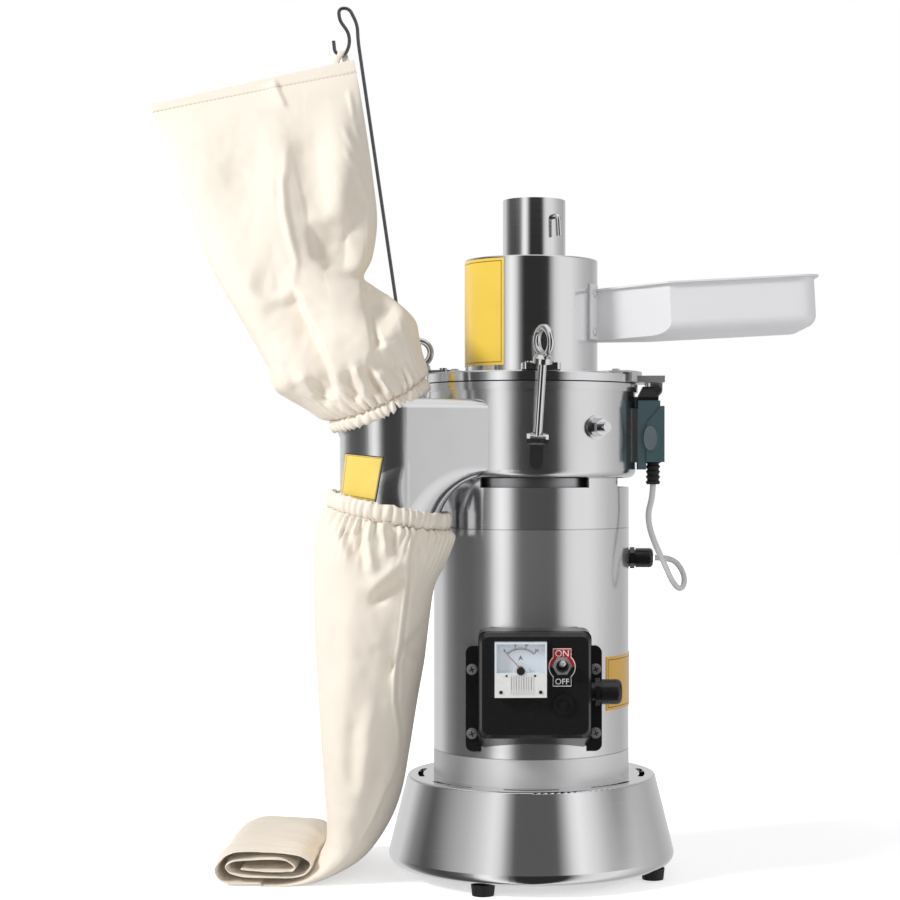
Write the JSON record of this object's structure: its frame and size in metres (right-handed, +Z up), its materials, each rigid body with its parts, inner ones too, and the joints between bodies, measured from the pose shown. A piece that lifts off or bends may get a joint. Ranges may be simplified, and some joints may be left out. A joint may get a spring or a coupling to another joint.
{
  "type": "electric grain mill",
  "caption": "Upright electric grain mill with a steel motor barrel, a hinged crusher lid with neck and feed chute, and a side duct to cloth bags",
  "frame": {"origin": "the motor's axis where it meets the floor, between the four feet", "axes": "+Z up along the motor's axis, +X along the feed chute, -Y to the front with the control box"},
  "size_m": [0.5854, 0.2516, 0.7482],
  "materials": {
    "rubber": "matt black rubber",
    "polished_steel": "polished stainless steel",
    "brushed_steel": "fine vertical satin",
    "sheet_steel": "satin stainless sheet",
    "polished_casting": "polished cast aluminium",
    "cast_metal": "machined casting",
    "bearing_steel": "ground steel",
    "copper": "varnished copper wire",
    "chrome": "bright plated steel",
    "teal_plastic": "moulded teal housing",
    "black_plastic": "satin black moulding",
    "grey_plastic": "grey plastic can",
    "white_plastic": "white moulding",
    "clear_window": "clear flat window",
    "grey_cable": "light grey sheath",
    "painted_plate": "printed switch plate",
    "yellow_label": "bare yellow label",
    "cotton": "plain woven cream cotton"
  },
  "bodies": {
    "stand": {"rubber_feet": "rubber", "base_skirt": "polished_steel", "run_capacitor": "grey_plastic", "barrel": "brushed_steel", "lower_bearing_bracket": "cast_metal", "upper_bearing_bracket": "cast_metal", "ball_bearings": "bearing_steel", "stator_core": "cast_metal", "stator_windings": "copper", "shaft_seal": "rubber", "chamber": "polished_casting", "lid_gasket": "rubber", "toothed_liner": "cast_metal", "sieve_ring": "bearing_steel", "clamp_lugs": "chrome", "clamp_pins": "chrome", "chamber_stud": "chrome", "hinge_lug": "polished_casting", "hinge_pin": "chrome", "limit_switch": "teal_plastic", "switch_head": "black_plastic", "switch_boot": "rubber", "switch_cable": "grey_cable", "barrel_gland": "black_plastic", "control_box": "black_plastic", "box_screws": "chrome", "box_gland": "black_plastic", "meter_case": "white_plastic", "meter_window": "clear_window", "toggle_plate": "painted_plate", "toggle_bushing": "chrome", "breaker_collar": "black_plastic", "nameplates": "yellow_label", "hook_rod": "chrome", "upper_bag": "cotton", "lower_bag": "cotton"},
    "lid": {"lid": "polished_steel", "neck": "polished_steel", "neck_label": "yellow_label", "tray": "sheet_steel", "tray_screws": "chrome", "clamp_ears": "chrome", "hinge_leaf": "sheet_steel"},
    "sleeve": {"feed_sleeve": "polished_steel"},
    "front_bolt": {"swing_bolt_front": "chrome"},
    "rear_bolt": {"swing_bolt_rear": "chrome"},
    "front_nut": {"eye_nut_front": "chrome"},
    "rear_nut": {"eye_nut_rear": "chrome"},
    "plunger": {"switch_plunger": "chrome"},
    "needle": {"meter_needle": "black_plastic"},
    "toggle": {"toggle_lever": "chrome"},
    "button": {"reset_button": "black_plastic"},
    "rotor": {"motor_shaft": "bearing_steel", "cooling_fan": "black_plastic", "hammer_carrier": "cast_metal"},
    "hammer1": {"hammer_1": "bearing_steel"},
    "hammer2": {"hammer_2": "bearing_steel"},
    "hammer3": {"hammer_3": "bearing_steel"},
    "hammer4": {"hammer_4": "bearing_steel"}
  },
  "joints": [
    {"name": "lid_hinge", "type": "hinge", "parent": "stand", "child": "lid", "pos_m": [0.108, 0.016, 0.4149], "axis": [0, 1, 0], "range_deg": [0, 90]},
    {"name": "feed_sleeve_slide", "type": "slide", "parent": "lid", "child": "sleeve", "axis": [0, 0, 1], "range_m": [0, 0.025]},
    {"name": "plunger_slide", "type": "slide", "parent": "stand", "child": "plunger", "axis": [0, 0, 1], "range_m": [0, 0.0024]},
    {"name": "needle_swing", "type": "hinge", "parent": "stand", "child": "needle", "pos_m": [-0.00851, -0.1177, 0.1854], "axis": [-0.0297, 0.9996, 0], "range_deg": [0, 86], "stiffness_Nm_per_rad": 0.00005, "springref_deg": -5.73},
    {"name": "toggle_tilt", "type": "hinge", "parent": "stand", "child": "toggle", "pos_m": [0.02485, -0.10931, 0.1874], "axis": [0.9996, 0.0297, 0], "range_deg": [0, 22]},
    {"name": "reset_press", "type": "slide", "parent": "stand", "child": "button", "axis": [-0.0297, 0.9996, 0], "range_m": [0, 0.003], "stiffness_N_per_m": 250, "springref_m": -0.002},
    {"name": "rotor_spin", "type": "hinge", "parent": "stand", "child": "rotor", "pos_m": [0, 0, 0.2], "axis": [0, 0, 1], "continuous": true},
    {"name": "front_bolt_swing", "type": "hinge", "parent": "stand", "child": "front_bolt", "pos_m": [0.00508, -0.09687, 0.371], "axis": [0.9973, 0.0523, -0.0523], "range_deg": [-14, 120]},
    {"name": "front_nut_turn", "type": "hinge", "parent": "front_bolt", "child": "front_nut", "pos_m": [0.00888, -0.1112, 0.42914], "axis": [0.0634, -0.2389, 0.969], "continuous": true},
    {"name": "rear_bolt_swing", "type": "hinge", "parent": "stand", "child": "rear_bolt", "pos_m": [-0.084, 0.0485, 0.371], "axis": [-0.5, -0.866, 0], "range_deg": [-14, 120]},
    {"name": "rear_nut_turn", "type": "hinge", "parent": "rear_bolt", "child": "rear_nut", "pos_m": [-0.09657, 0.05576, 0.42922], "axis": [-0.2095, 0.121, 0.9703], "continuous": true},
    {"name": "hammer1_swing", "type": "hinge", "parent": "rotor", "child": "hammer1", "pos_m": [0.03253, 0.03253, 0.369], "axis": [0, 0, 1], "range_deg": [-70, 70]},
    {"name": "hammer2_swing", "type": "hinge", "parent": "rotor", "child": "hammer2", "pos_m": [-0.03253, 0.03253, 0.369], "axis": [0, 0, 1], "range_deg": [-70, 70]},
    {"name": "hammer3_swing", "type": "hinge", "parent": "rotor", "child": "hammer3", "pos_m": [-0.03253, -0.03253, 0.369], "axis": [0, 0, 1], "range_deg": [-70, 70]},
    {"name": "hammer4_swing", "type": "hinge", "parent": "rotor", "child": "hammer4", "pos_m": [0.03253, -0.03253, 0.369], "axis": [0, 0, 1], "range_deg": [-70, 70]}
  ],
  "couplings": [
    {"joint": "plunger_slide", "follows": "lid_hinge", "m_per_rad": 0.0014}
  ]
}
